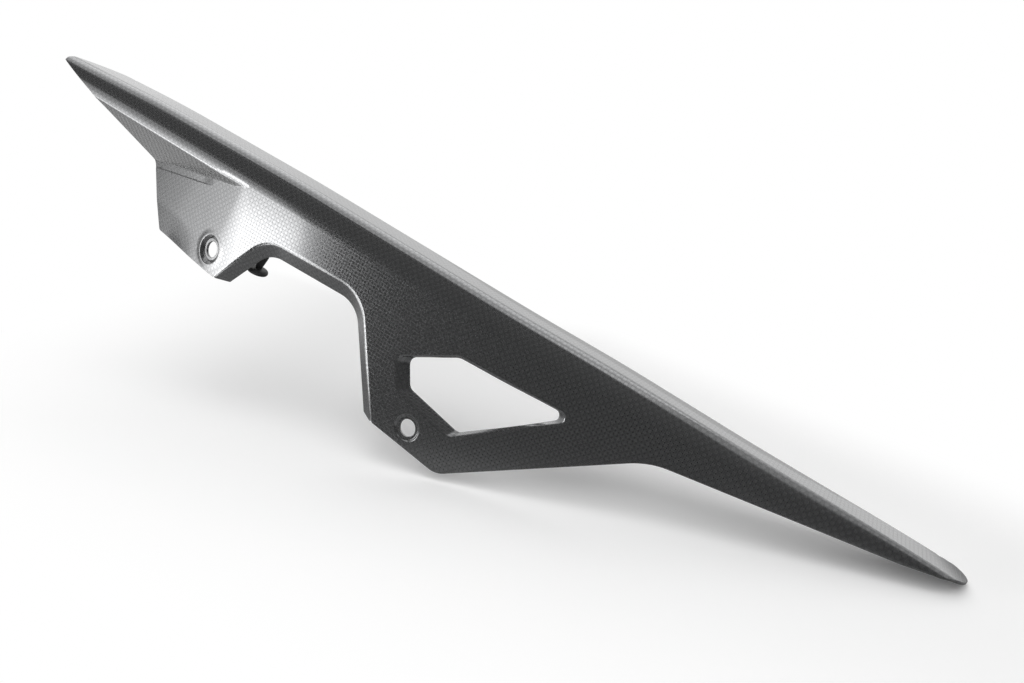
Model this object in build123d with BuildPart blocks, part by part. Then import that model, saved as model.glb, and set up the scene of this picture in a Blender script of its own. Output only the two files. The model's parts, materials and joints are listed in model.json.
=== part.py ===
import os
from math import cos, radians, sin, sqrt, tan

from build123d import *

os.makedirs("parts", exist_ok=True)

# A moulded chain guard: one thin laminate skin with a flat outer wall, a rounded crown and a narrow
# roof over the chain. +X runs to the tail, -Y is the outer side and +Z is up. X and Z start at the
# centre of the rear mounting hole. Y is drawn from the wall's outer face, and the finished pieces
# move out by the depth of the rear recess, so that the origin lies on its floor. Sizes are in mm.

# Laminate
wall = 1.6

# Length and roof, from the pointed nose to the round tongue at the tail
nose_x = -324.2
tail_x = 269.5
roof_width = 30.0
taper_width = 27.0
tail_width = 26.0
roof_height_nose = 82.3
roof_height_front = 86.8
roof_height_arch = 88.0
roof_height_window = 86.2
roof_height_waist = 86.6
roof_height_taper = 85.6
roof_height_tail = 85.8
roof_height_tip = 84.4
nose_taper = 35.3
nose_tip_y = 4.0
nose_bow = 6.0

# Crown between the wall and the roof: a slow lower arc and a tight upper one
crease_z = 68.8
crown_start = 70.8
crown_start_waist = 76.8
crown_start_tail = 82.8
crown_start_tip = 81.6
crown_radius = 7.0
crown_radius_waist = 5.5
crown_radius_tail = 3.0
crown_lean = 30.0
crease_lean_waist = 8.0
crease_lean_tail = 15.0
back_radius = 2.5
back_lip = 5.0

# Front tab: the lower wall bends in towards the nose, below a 45 degree step, and its lower front
# strip leans in once more
tab_turn_x = -155.9
tab_turn = 13.0
tab_turn_radius = 80.0
strip_z = 26.8
strip_lean = 8.0
strip_full_x = -195.0
strip_end_x = -181.0
tab_bottom_z = 10.8
tab_front_x = -216.9
tab_corner_radius = 6.0
tab_top_x = -244.9
tab_top_z = 46.8
tab_top_radius = 18.0
nose_edge_x = -286.9
nose_edge_z = 68.8
nose_edge_radius = 80.0
nose_lower_z = 82.8

# Rear tab, lower edge and tail edge
rear_tab_front_z = -6.0
rear_tab_low_x = 26.8
rear_tab_low_z = -13.2
rear_tab_radius = 9.0
waist_x = 124.1
waist_z = 57.2
waist_radius = 45.0
waist_blend = 40.0
tail_edge_x = 241.1
tail_edge_z = 78.4
tail_edge_radius = 80.0
tongue_edge_z = 82.2

# Arch between the tabs, with a return lip that slants in
arch_front_foot_x = -155.2
arch_front_x = -129.2
arch_front_z = 49.9
arch_front_radius = 24.0
arch_back_x = -58.8
arch_back_z = 52.5
arch_back_radius = 26.0
arch_back_foot_x = -33.0
arch_back_foot_z = 9.4
arch_lip_depth = 5.0
arch_lip_front = 6.6
arch_lip_top = 8.5
arch_lip_back = 7.0
arch_lip_foot_rise = 4.7

# Window with a bevelled rim, widest at its front and along its lower edge
window_front_x = -17.3
window_front_z = 34.7
window_top_x = 10.5
window_top_z = 50.6
window_tip_x = 78.7
window_tip_z = 54.3
window_low_x = 26.8
window_low_z = 13.3
window_foot_x = -9.6
window_foot_z = 19.7
window_radius = 4.5
window_top_radius = 10.0
window_tip_radius = 3.0
window_low_radius = 6.0
window_lip_depth = 3.5
bevel_front = 6.8
bevel_low = 5.0
bevel_narrow = 3.0

# Mounting holes: the rear one in a flat recess, the front one in a dished recess
rear_hole_radius = 4.9
rear_dish_radius = 7.4
rear_dish_depth = 0.9
front_hole_x = -166.9
front_hole_z = 23.9
front_hole_radius = 4.9
front_floor_radius = 6.8
front_dish_radius = 8.9
front_dish_depth = 1.75

# Locating peg behind the arch: a bonded foot, an arm and a mushroom head that points down
peg_x = -138.4
peg_y = 15.0
peg_foot_width = 13.0
peg_foot_height = 16.0
peg_foot_thickness = 2.4
peg_foot_low_z = 47.8
peg_arm_thickness = 5.0
peg_stem_radius = 3.6
peg_neck_radius = 1.9
peg_neck_z = 33.8
peg_head_radius = 6.5
peg_head_thickness = 3.6
peg_head_low_z = 22.6

# Space around the guard that the trimming outlines run out into
margin = 12.0
floor_z = -40.0


def crown_profile(x, height, width, start, radius, lean, inset):
    """One cross-section of the space under the skin, with its faces moved in by the inset."""
    slow_rise = height - start - radius * (1 - sin(radians(crown_lean)))
    slow_radius = slow_rise / (sin(radians(crown_lean)) - sin(radians(lean)))
    break_y = inset * tan(radians(lean / 2))
    first = (inset, start - break_y)
    with BuildSketch(Plane.YZ.offset(x)) as section:
        with BuildLine():
            Line((inset, floor_z), first)
            heading = (sin(radians(lean)), cos(radians(lean)))
            slow = JernArc(first, heading, slow_radius - inset, lean - crown_lean)
            tight = JernArc(slow @ 1, slow % 1, radius - inset, crown_lean - 90)
            roof_end = (width - back_radius, (tight @ 1).Y)
            roof = Line(tight @ 1, roof_end)
            back = JernArc(roof @ 1, (1, 0), back_radius - inset, -90)
            if inset:
                lip_end = (width - inset, height - back_lip)
                Polyline(back @ 1, lip_end, (width + margin, height - back_lip), (width + margin, floor_z))
                Line((width + margin, floor_z), (inset, floor_z))
            else:
                Polyline(back @ 1, (width, floor_z), (inset, floor_z))
        make_face()
    return section.sketch


def tab_y(x, inset):
    """Depth of the turned tab at x, on a face moved in by the inset."""
    return (tab_turn_x - x) * tan(radians(tab_turn)) + inset / cos(radians(tab_turn))


def tab_wedge(inset):
    """The space in front of the bent tab and under the 45 degree step above it."""
    nose_end = nose_x - 2 * margin
    bend_x = tab_turn_x + inset * tan(radians(tab_turn / 2))
    with BuildPart() as wedge:
        with BuildSketch(Plane.XY.offset(floor_z - margin)):
            with BuildLine():
                bend = FilletPolyline(
                    (bend_x + 2 * margin, inset),
                    (bend_x, inset),
                    (nose_end, tab_y(nose_end, inset)),
                    radius=tab_turn_radius - inset,
                )
                Polyline(bend @ 1, (nose_end, -margin), (bend_x + 2 * margin, -margin), bend @ 0)
            make_face()
        extrude(amount=crease_z + 2 * margin - floor_z)
        step_z = crease_z + inset * sqrt(2)
        step_y = tab_y(nose_end, inset) + margin
        with BuildSketch(Plane.YZ.offset(nose_end)):
            with BuildLine():
                Polyline(
                    (-margin, step_z + margin),
                    (step_y, step_z - step_y),
                    (step_y, floor_z - margin),
                    (-margin, floor_z - margin),
                    close=True,
                )
            make_face()
        extrude(amount=bend_x + 3 * margin - nose_end, mode=Mode.INTERSECT)
    return wedge.part


def strip_wedge(inset):
    """The space in front of the tab's lower strip, which leans in and fades out before the recess."""
    with BuildPart() as wedge:
        ends = []
        for x, lean in ((nose_x, strip_lean), (strip_full_x, strip_lean), (strip_end_x, 0)):
            near_y = tab_y(x, inset)
            with BuildSketch(Plane.YZ.offset(x)) as end:
                with BuildLine():
                    Polyline(
                        (-margin, strip_z),
                        (near_y, strip_z),
                        (near_y + (strip_z - floor_z) * tan(radians(lean)), floor_z),
                        (-margin, floor_z),
                        close=True,
                    )
                make_face()
            ends.append(end.sketch)
        loft(sections=ends, ruled=True)
    return wedge.part


def nested_body(inset):
    """The space behind the outer skin, or behind the inner one when the inset is the wall."""
    stations = (
        (nose_x - margin, roof_height_nose, roof_width, crown_start, crown_radius, 0),
        (tab_top_x, roof_height_front, roof_width, crown_start, crown_radius, 0),
        (arch_front_x, roof_height_arch, roof_width, crown_start, crown_radius, 0),
        (window_low_x, roof_height_window, roof_width, crown_start, crown_radius, 0),
        (waist_x - waist_blend, roof_height_waist, roof_width, crown_start, crown_radius, 0),
        (waist_x + waist_blend, roof_height_taper, taper_width, crown_start_waist,
         crown_radius_waist, crease_lean_waist),
        (tail_edge_x, roof_height_tail, tail_width, crown_start_tail, crown_radius_tail, crease_lean_tail),
        (tail_x + margin, roof_height_tip, tail_width, crown_start_tip, crown_radius_tail,
         crease_lean_tail),
    )
    with BuildPart() as body:
        sections = [crown_profile(*station, inset) for station in stations]
        loft(sections=sections, ruled=True)
        add(tab_wedge(inset), mode=Mode.SUBTRACT)
        add(strip_wedge(inset), mode=Mode.SUBTRACT)
    return body.part


def side_outline():
    """The guard seen from its outer side, without the arch."""
    with BuildSketch(Plane.XZ) as outline:
        with BuildLine():
            edge = FilletPolyline(
                (nose_x - margin, nose_lower_z),
                (nose_edge_x, nose_edge_z),
                (tab_top_x, tab_top_z),
                (tab_front_x, tab_bottom_z),
                (arch_front_foot_x, tab_bottom_z),
                radius=(nose_edge_radius, tab_top_radius, tab_corner_radius),
            )
            tail = FilletPolyline(
                (arch_back_x, rear_tab_front_z),
                (rear_tab_low_x, rear_tab_low_z),
                (waist_x, waist_z),
                (tail_edge_x, tail_edge_z),
                (tail_x - tail_width / 2, tongue_edge_z),
                radius=(rear_tab_radius, waist_radius, tail_edge_radius),
            )
            Polyline(edge @ 1, (arch_front_x, tab_bottom_z + arch_lip_foot_rise), tail @ 0)
            top = roof_height_arch + margin
            Polyline(tail @ 1, (tail_x + margin, tongue_edge_z), (tail_x + margin, top),
                     (nose_x - margin, top), edge @ 0)
        make_face()
    return outline.sketch


def plan_outline():
    """The guard seen from above: a pointed nose and a round tongue at the tail."""
    tongue_x = tail_x - tail_width / 2
    far_y = roof_width + margin
    with BuildSketch(Plane.XY) as outline:
        with BuildLine():
            nose_end = (nose_x + nose_taper, roof_width)
            middle = ((nose_x + nose_end[0]) / 2 - nose_bow, (nose_tip_y + roof_width) / 2 + nose_bow)
            nose = ThreePointArc((nose_x, nose_tip_y), middle, nose_end)
            Polyline(nose @ 1, (nose_end[0], far_y), (tongue_x, far_y), (tongue_x, tail_width))
            ThreePointArc((tongue_x, tail_width), (tail_x, tail_width / 2), (tongue_x, 0))
            Polyline((tongue_x, 0), (tongue_x, -margin), (nose_x, -margin), nose @ 0)
        make_face()
    return outline.sketch


def moved_sides(corners, shifts):
    """The corners of a clockwise outline once each of its sides has moved out by its own shift."""
    sides = []
    for start, end, shift in zip(corners, corners[1:] + corners[:1], shifts):
        along = (Vector(*end) - Vector(*start)).normalized()
        sides.append(Axis(Vector(*start) + Vector(-along.Y, along.X) * shift, along))
    return [sides[index - 1].intersect(sides[index]) for index in range(len(sides))]


def arch_outline(y, front=0, top=0, back=0):
    """The arch between the tabs on a plane at depth y, with its three sides moved in."""
    corners = [
        (arch_front_foot_x, tab_bottom_z),
        (arch_front_x, arch_front_z),
        (arch_back_x, arch_back_z),
        (arch_back_foot_x, arch_back_foot_z),
    ]
    with BuildSketch(Plane.XZ.offset(-y)) as outline:
        with BuildLine():
            hoop = FilletPolyline(
                *moved_sides(corners, (-front, -top, -back, -floor_z)),
                radius=(arch_front_radius - front, arch_back_radius - back),
            )
            Line(hoop @ 1, hoop @ 0)
        make_face()
    return outline.sketch


def window_outline(y, front=0, low=0, narrow=0):
    """The five-sided window on a plane at depth y, with its sides moved out by the bevels."""
    corners = [
        (window_front_x, window_front_z),
        (window_top_x, window_top_z),
        (window_tip_x, window_tip_z),
        (window_low_x, window_low_z),
        (window_foot_x, window_foot_z),
    ]
    with BuildSketch(Plane.XZ.offset(-y)) as outline:
        with BuildLine():
            FilletPolyline(
                *moved_sides(corners, (narrow, narrow, narrow, low, front)),
                radius=(window_radius, window_top_radius, window_tip_radius, window_low_radius,
                        window_radius),
                close=True,
            )
        make_face()
    return outline.sketch


def flat_frustum(near, far):
    """A straight-sided solid from one outline to another."""
    with BuildPart() as frustum:
        loft(sections=[near, far], ruled=True)
    return frustum.part


# Planes on the outer face, with their normals outwards, at the two mounting holes
rear_plane = Plane.XZ
tab_plane = Plane(
    origin=(tab_turn_x, 0, 0),
    x_dir=(cos(radians(tab_turn)), -sin(radians(tab_turn)), 0),
    z_dir=(-sin(radians(tab_turn)), -cos(radians(tab_turn)), 0),
)
front_hole_run = (front_hole_x - tab_turn_x) / cos(radians(tab_turn))
front_plane = Plane(
    origin=tab_plane.from_local_coords((front_hole_run, front_hole_z, 0)),
    x_dir=tab_plane.x_dir,
    z_dir=tab_plane.z_dir,
)
arch_lips = (arch_lip_front, arch_lip_top, arch_lip_back)
bevels = (bevel_front, bevel_low, bevel_narrow)
downwards = (Align.CENTER, Align.CENTER, Align.MAX)

with BuildPart() as guard_shell:
    # Skin: the space between two nested bodies one wall apart
    add(nested_body(0))
    add(nested_body(wall), mode=Mode.SUBTRACT)
    # Pads that become the return lip of the arch and the bevelled rim of the window
    extrude(arch_outline(0), amount=-wall)
    add(flat_frustum(arch_outline(wall), arch_outline(wall + arch_lip_depth, *arch_lips)))
    extrude(window_outline(0, *bevels), amount=-wall)
    add(flat_frustum(window_outline(wall, *bevels), window_outline(wall + window_lip_depth)))
    # The arch's pad follows the bend of the tab
    add(tab_wedge(0), mode=Mode.SUBTRACT)
    # Bosses behind the two recesses
    with Locations(rear_plane):
        Cylinder(rear_dish_radius + wall, rear_dish_depth + wall, align=downwards)
    with Locations(front_plane):
        Cylinder(front_dish_radius + wall, front_dish_depth + wall, align=downwards)
    # Trimmed edge, seen from the side and from above
    extrude(side_outline(), amount=roof_width + margin, both=True, mode=Mode.INTERSECT)
    extrude(plan_outline(), amount=roof_height_arch + margin, both=True, mode=Mode.INTERSECT)
    # Open arch
    extrude(arch_outline(0), amount=margin, mode=Mode.SUBTRACT)
    add(flat_frustum(arch_outline(0), arch_outline(arch_lip_depth, *arch_lips)), mode=Mode.SUBTRACT)
    extrude(arch_outline(arch_lip_depth, *arch_lips), amount=-roof_width, mode=Mode.SUBTRACT)
    # Open window
    extrude(window_outline(0, *bevels), amount=margin, mode=Mode.SUBTRACT)
    add(flat_frustum(window_outline(0, *bevels), window_outline(window_lip_depth)), mode=Mode.SUBTRACT)
    extrude(window_outline(window_lip_depth), amount=-margin, mode=Mode.SUBTRACT)
    # Recessed mounting holes
    with Locations(rear_plane):
        CounterBoreHole(rear_hole_radius, rear_dish_radius, rear_dish_depth, depth=2 * margin)
    with Locations(front_plane):
        Cone(front_floor_radius, front_dish_radius, front_dish_depth, align=downwards, mode=Mode.SUBTRACT)
        Hole(front_hole_radius, depth=2 * margin)

with BuildPart() as locating_peg:
    # Foot on the inner face of the wall, and the arm that stands in from it
    foot_middle_z = peg_foot_low_z + peg_foot_height / 2
    with BuildSketch(Plane.XZ.offset(-wall)) as foot:
        with Locations((peg_x, foot_middle_z)):
            Rectangle(peg_foot_width, peg_foot_height)
        fillet(foot.vertices().group_by(Axis.Y)[-1], peg_stem_radius)
    extrude(amount=-peg_foot_thickness)
    with BuildSketch(Plane.XY.offset(peg_foot_low_z)):
        with Locations((peg_x, (wall + peg_y) / 2)):
            Rectangle(2 * peg_stem_radius, peg_y - wall)
        with Locations((peg_x, peg_y)):
            Circle(peg_stem_radius)
    extrude(amount=peg_arm_thickness)
    # Stem, tapered neck and round-edged head
    head_middle_z = peg_head_low_z + peg_head_thickness / 2
    head_top_z = peg_head_low_z + peg_head_thickness
    arm_top_z = peg_foot_low_z + peg_arm_thickness
    flat_radius = peg_head_radius - peg_head_thickness / 2
    with BuildSketch(Plane(origin=(peg_x, peg_y, 0), x_dir=(1, 0, 0), z_dir=(0, -1, 0))):
        with BuildLine():
            Line((0, peg_head_low_z), (flat_radius, peg_head_low_z))
            ThreePointArc(
                (flat_radius, peg_head_low_z),
                (peg_head_radius, head_middle_z),
                (flat_radius, head_top_z),
            )
            Polyline(
                (flat_radius, head_top_z),
                (peg_neck_radius, head_top_z),
                (peg_stem_radius, peg_neck_z),
                (peg_stem_radius, arm_top_z),
                (0, arm_top_z),
                (0, peg_head_low_z),
            )
        make_face()
    revolve(axis=Axis((peg_x, peg_y, 0), (0, 0, 1)))

recess_floor = Location((0, -rear_dish_depth, 0))
for node, piece in (("guard_shell", guard_shell.part), ("locating_peg", locating_peg.part)):
    piece.label = node
    export_step(piece.moved(recess_floor), f"parts/{node}.step")
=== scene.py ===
"""A moulded carbon chain guard: the visible skin, its locating peg and a pale studio stage."""

import json
import math

import bpy
import numpy as np
from mathutils import Matrix, Vector
from mathutils.geometry import delaunay_2d_cdt


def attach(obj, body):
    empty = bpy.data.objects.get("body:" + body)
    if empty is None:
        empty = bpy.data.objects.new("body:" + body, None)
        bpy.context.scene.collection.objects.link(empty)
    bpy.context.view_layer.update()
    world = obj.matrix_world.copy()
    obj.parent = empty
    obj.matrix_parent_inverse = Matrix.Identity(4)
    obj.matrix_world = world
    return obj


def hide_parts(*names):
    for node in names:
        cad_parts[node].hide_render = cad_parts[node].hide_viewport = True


bl_info = {
    "name": "Carbon chain guard",
    "version": (1, 0, 0),
    "blender": (4, 5, 0),
    "location": "View3D > Sidebar > Chain guard",
    "description": "Builds a woven carbon chain guard with its peg on a pale studio stage",
    "category": "Object",
}

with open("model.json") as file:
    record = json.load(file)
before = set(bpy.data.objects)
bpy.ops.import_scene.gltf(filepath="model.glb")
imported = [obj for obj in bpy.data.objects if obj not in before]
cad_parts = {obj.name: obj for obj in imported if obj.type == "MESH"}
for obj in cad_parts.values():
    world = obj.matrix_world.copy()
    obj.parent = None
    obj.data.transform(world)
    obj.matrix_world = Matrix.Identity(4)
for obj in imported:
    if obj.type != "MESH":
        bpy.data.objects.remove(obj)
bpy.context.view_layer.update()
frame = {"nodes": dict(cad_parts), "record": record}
REAR_BORE = frame["record"]["mounts"][0]

# The guard's sizes are in millimetres and the stage's in metres. Y counts from the outer face of the
# wall, which stands FACE_Y from the origin. A place on the skin is (x, s): s is the height up the
# flat wall and then the length round the crown, over the roof and down its rolled back edge. The
# cloth's UV map is that place times CLOTH_PER_MM.
MM = 0.001
FACE_Y = -0.9
CLOTH_PER_MM = 0.01

# Cross-section stations: x, roof height, roof width, crown start, crown radius, crease lean
ROOF_WIDTH = 30.0
STATIONS = np.array([
    (-336.2, 82.3, ROOF_WIDTH, 70.8, 7.0, 0.0),
    (-244.9, 86.8, ROOF_WIDTH, 70.8, 7.0, 0.0),
    (-129.2, 88.0, ROOF_WIDTH, 70.8, 7.0, 0.0),
    (26.8, 86.2, ROOF_WIDTH, 70.8, 7.0, 0.0),
    (84.1, 86.6, ROOF_WIDTH, 70.8, 7.0, 0.0),
    (164.1, 85.6, 27.0, 76.8, 5.5, 8.0),
    (241.1, 85.8, 26.0, 82.8, 3.0, 15.0),
    (281.5, 84.4, 26.0, 81.6, 3.0, 15.0),
])
STATION_BLEND = 28.0
BLEND_SAMPLES = 17
BLEND_FALL = 0.94
CROWN_LEAN = math.radians(30)
BACK_RADIUS = 2.5
BACK_LIP = 5.0

# A ramp is a start and a width: 0 at the start, 1 one width further on, and a smooth step between.
# A negative width goes towards smaller values

# Turned front tab. Its turn is rounded over TURN_BLEND to each side, and by TURN_GROWTH more for
# each millimetre below the crease, down to TURN_REACH
CREASE_Z = 68.8
TURN_X = -155.9
TURN_ANGLE = math.radians(13)
TURN = math.tan(TURN_ANGLE)
SQUEEZE = math.cos(TURN_ANGLE)
TURN_BLEND = 4.0
TURN_GROWTH = 0.16
TURN_REACH = 60.0

# The 45 degree facet over the tab, whose crease is sharper towards the nose, and the ledge below it.
# Tab and facet meet in a blend of FACET_SHARE of the tab's depth, FACET_BLEND at most. The wall has
# no relief above RELIEF_TOP
RELIEF_TOP = 76.0
CREASE_BLEND = 0.9
CREASE_GROWTH = 2.4
CREASE_RAMP = (-186, 20)
FACET_SHARE = 0.3
FACET_BLEND = 0.6
LEDGE_DEPTH = 0.35
LEDGE_EDGE = (5.0, -0.9)
LEDGE_RAMP = (-183, -12)

# Strip along the tab's foot that leans in
BEND_Z = 26.8
BEND = math.tan(math.radians(5))
BEND_BLEND = 1.6
BEND_RAMP = (-178, -34)

# Painted shade: a dark strip along the back edge of the roof, standing in for its darker reflection
BAND_WIDTH = 7.0
BAND_BLUR = 1.2
BAND_FADE = 2.0
BAND_RISE = (-70, 110)
BAND_FALL = (240, -80)

# Outlines: corners and the radii of their rounded corners
TAB_EDGE = ((-336.2, 82.8), (-286.9, 68.8), (-244.9, 46.8), (-219.9, 10.8), (-155.2, 10.8))
TAB_RADII = (80.0, 18.0, 2.5)
ARCH_FOOT_FRONT = (-155.2, 10.8)
ARCH_FOOT_BACK = (-21.9, -9.1)
ARCH = (ARCH_FOOT_FRONT, (-129.2, 49.9), (-58.8, 52.5), ARCH_FOOT_BACK)
ARCH_RADII = (24.0, 26.0)
ARCH_LIPS = (6.6, 8.5, 7.0)
ARCH_DEPTH = 5.0
ARCH_FOOT_RISE = 4.7 / 26.0
TAIL_EDGE = (ARCH_FOOT_BACK, (26.8, -13.2), (124.1, 57.2), (241.1, 78.4), (256.5, 82.2))
TAIL_RADII = (14.0, 45.0, 80.0)
WINDOW = ((-17.3, 34.7), (10.5, 50.6), (78.7, 54.3), (26.8, 13.3), (-9.6, 19.7))
WINDOW_RADII = (4.5, 10.0, 3.0, 6.0, 4.5)
WINDOW_BEVELS = (1.2, 1.2, 1.5, 5.0, 6.8)
WINDOW_DEPTH = 3.5
WINDOW_FOLD = 0.5
NARROW_DEPTH = 0.25
NARROW_RAMP = (1.6, 3.0)
NOSE_TIP = (-324.2, 4.0)
NOSE_MIDDLE = (-310.4, 20.8)
NOSE_END_X = -288.9
TONGUE_X = 256.5
TONGUE_RADIUS = 13.0

# Recesses of the mounting holes: radii of the floor and the rim, and the depth. The front one also
# has a small step at its floor and a low ring round its rim
HOLE_RADIUS = REAR_BORE["dims"]["r_mm"]
REAR_FLOOR, REAR_RIM, REAR_DEPTH = 6.5, 8.0, 0.9
FRONT_HOLE = (-166.9, 23.9)
FRONT_FLOOR, FRONT_RIM, FRONT_DEPTH = 6.9, 9.0, 1.8
RIM_BLEND = 0.3
FLOOR_BLEND = 0.2
STEP_DEPTH = 0.45
STEP_EDGE = (7.3, -0.8)
RING_HEIGHT = 0.3
RING_EDGE = (12.6, -3.2)

# Where the places of the outline are searched for: from below the wall to the roof, and from just
# under the crown to part of the way round the rolled edge
LOWEST_S = -40
CROWN_MARGIN = 2
ROLL_REACH = 1.6
HALVINGS = 40

# Spacing and numbers of the points on the edges and in the grid, how far they keep apart, and the
# lines and rings where the skin folds
EDGE_STEP = 1.6
GRID_STEP = 1.7
HOLE_POINTS = 72
TONGUE_POINTS = 37
NOSE_POINTS = 31
LIP_POINTS = 5
EDGE_GAP = 0.35
GRID_GAP = 0.6
SAME_POINT = 0.05
SLOPE_STEP = 0.05
MERGE_GAP = 1e-5
GRID_X = (-325, 270)
GRID_Z = (-14, 66)
CREASE_ROWS = (66.8, 67.6, 68.2, 68.8, 69.4, 70.1)
RUN_STEPS = (("start", "tight", 8), ("tight", "roof", 8), ("roof", "back", 8),
             ("back", "lip", 6), ("lip", "end", 2))
FOLD_X = (-290, -150)
FOLD_Z = 60
FOLD_STEP = 1.5
FOLD_LINES = (-6.2, -5.4, -5.0, -4.6, -4.1, -3.4, -0.9, -0.45, 0, 0.45, 0.9)
REAR_RINGS = (5.8, 6.3, 6.55, 6.8, 7.05, 7.3, 7.55, 7.8, 8.1, 8.8)
FRONT_RINGS = (5.8, 6.4, 6.7, 7.0, 7.5, 8.2, 8.7, 9.0, 9.4, 10.2, 11.2, 12.2)


def smooth_step(t):
    """0 below 0, 1 above 1, and t squared times (3 minus 2t) between."""
    t = np.clip(t, 0, 1)
    return t * t * (3 - 2 * t)


def ramp(value, start, width):
    """A smooth step from 0 at the start to 1 one width further on."""
    return smooth_step((value - start) / width)


def soft_max(a, b, blend):
    """The larger of a and b, rounded by a parabola where they differ by less than the blend."""
    blend = np.maximum(blend, 1e-6)
    return np.maximum(a, b) + np.maximum(blend - np.abs(a - b), 0) ** 2 / (4 * blend)


def soft_min(a, b, blend):
    """The smaller of a and b, rounded in the same way."""
    return -soft_max(-a, -b, blend)


def station(x):
    """Roof height and width, crown start and radius and crease lean at x: straight runs between the
    stations, averaged over a triangle of x on both sides so that no run ends in a kink."""
    offsets = np.linspace(-1, 1, BLEND_SAMPLES)
    weights = 1 - np.abs(offsets) * BLEND_FALL
    weights /= weights.sum()
    spread = np.asarray(x, float)[..., None] + offsets * STATION_BLEND
    return [(np.interp(spread, STATIONS[:, 0], column) * weights).sum(-1) for column in STATIONS.T[1:]]


def runs(x):
    """The cross-section at x: where each run of it starts along s, and its radii."""
    height, width, start, radius, lean = station(x)
    lean = np.radians(lean)
    rise = height - start - radius * (1 - math.sin(CROWN_LEAN))
    slow = rise / (math.sin(CROWN_LEAN) - np.sin(lean))
    slow_y = slow * (np.cos(lean) - math.cos(CROWN_LEAN))
    roof_y = slow_y + radius * math.cos(CROWN_LEAN)
    tight_s = start + slow * (CROWN_LEAN - lean)
    roof_s = tight_s + radius * (math.pi / 2 - CROWN_LEAN)
    back_s = roof_s + width - BACK_RADIUS - roof_y
    lip_s = back_s + BACK_RADIUS * math.pi / 2
    end_s = lip_s + BACK_LIP - BACK_RADIUS
    return dict(start=start, tight=tight_s, roof=roof_s, back=back_s, lip=lip_s, end=end_s, lean=lean,
                slow_radius=slow, tight_radius=radius)


def section(x, s):
    """Depth and height of the plain cross-section at x: upright wall, an arc of large radius, an arc
    of small radius, the level roof, the rolled back edge and its lip, each added from the last."""
    r = runs(x)
    slow = np.clip(s - r["start"], 0, r["tight"] - r["start"])
    angle = r["lean"] + slow / r["slow_radius"]
    tight = CROWN_LEAN + np.clip(s - r["tight"], 0, r["roof"] - r["tight"]) / r["tight_radius"]
    roof = np.clip(s - r["roof"], 0, r["back"] - r["roof"])
    back = np.clip(s - r["back"], 0, r["lip"] - r["back"]) / BACK_RADIUS
    lip = np.maximum(s - r["lip"], 0)
    y = (r["slow_radius"] * (np.cos(r["lean"]) - np.cos(angle))
         + r["tight_radius"] * (math.cos(CROWN_LEAN) - np.cos(tight))
         + roof + BACK_RADIUS * np.sin(back))
    z = (np.minimum(s, r["start"]) + r["slow_radius"] * (np.sin(angle) - np.sin(r["lean"]))
         + r["tight_radius"] * (np.sin(tight) - math.sin(CROWN_LEAN))
         - BACK_RADIUS * (1 - np.cos(back)) - lip)
    return y, z


def tab_depth(x, z):
    """Depth of the turned tab: nothing behind the turn line, a slope in front of it and a parabola
    between, which widens towards the lower edge."""
    half_width = TURN_BLEND + np.clip(CREASE_Z - z, 0, TURN_REACH) * TURN_GROWTH
    return soft_max(0, (TURN_X - x) * TURN, half_width * TURN)


def rear_dish(out):
    """Depth of the rear recess at a distance from its hole: a flat floor inside a smooth step."""
    return REAR_DEPTH * ramp(out, REAR_RIM, REAR_FLOOR - REAR_RIM)


def front_dish(out):
    """Depth of the front recess at a distance from its hole: a cone down to a floor, with a small
    step at the floor and a low ring round the rim."""
    cone = (FRONT_RIM - out) / (FRONT_RIM - FRONT_FLOOR) * FRONT_DEPTH
    dish = soft_min(soft_max(0, cone, RIM_BLEND), FRONT_DEPTH, FLOOR_BLEND)
    return dish + STEP_DEPTH * ramp(out, *STEP_EDGE) - RING_HEIGHT * ramp(out, *RING_EDGE)


def relief(x, z):
    """Depth added to the wall: the less deep of the facet and the tab with its ledge, the strip that
    leans in along the tab's foot, and the two recesses."""
    tab = tab_depth(x, z)
    facet = soft_max(0, CREASE_Z - z, CREASE_BLEND + CREASE_GROWTH * ramp(x, *CREASE_RAMP))
    ledge = LEDGE_DEPTH * ramp(CREASE_Z - tab - z, *LEDGE_EDGE) * ramp(x, *LEDGE_RAMP)
    depth = soft_min(tab + ledge, facet, np.clip(FACET_SHARE * tab, 1e-6, FACET_BLEND))
    depth = depth + BEND * ramp(x, *BEND_RAMP) * soft_max(0, BEND_Z - z, BEND_BLEND)
    from_front = np.hypot((x - FRONT_HOLE[0]) / SQUEEZE, z - FRONT_HOLE[1])
    return depth + rear_dish(np.hypot(x, z)) + front_dish(from_front)


def painted_shade_band(x, s):
    """1 in the strip of painted shade along the back edge of the roof, which stands in for its darker
    reflection, and 0 elsewhere. The strip widens from nothing to its full width ahead of the window and
    narrows again towards the tongue."""
    width = BAND_WIDTH * ramp(x, *BAND_RISE) * ramp(x, *BAND_FALL)
    inner = runs(x)["back"] - width - BAND_BLUR / 2
    return ramp(s, inner, BAND_BLUR) * smooth_step(width / BAND_FADE)


def facet_share(x, s):
    """1 on the facet and 0 elsewhere, by which of the two slopes is less deep."""
    return smooth_step(tab_depth(x, s) - (CREASE_Z - s)) * smooth_step(CREASE_Z - s)


def skin(x, s):
    """Points of the outer skin at the places (x, s)."""
    y, z = section(x, s)
    return np.stack([x + 0 * y, y + relief(x, z) * (z < RELIEF_TOP), z], -1)


def skin_normals(x, s):
    """Outward unit normals of the skin, from the cross product of its two slopes."""
    along = skin(x + SLOPE_STEP, s) - skin(x - SLOPE_STEP, s)
    across = skin(x, s + SLOPE_STEP) - skin(x, s - SLOPE_STEP)
    return unit(np.cross(along, across))


def unit(vectors):
    """Vectors divided by their lengths."""
    return vectors / np.maximum(np.linalg.norm(vectors, axis=-1, keepdims=True), 1e-12)


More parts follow.
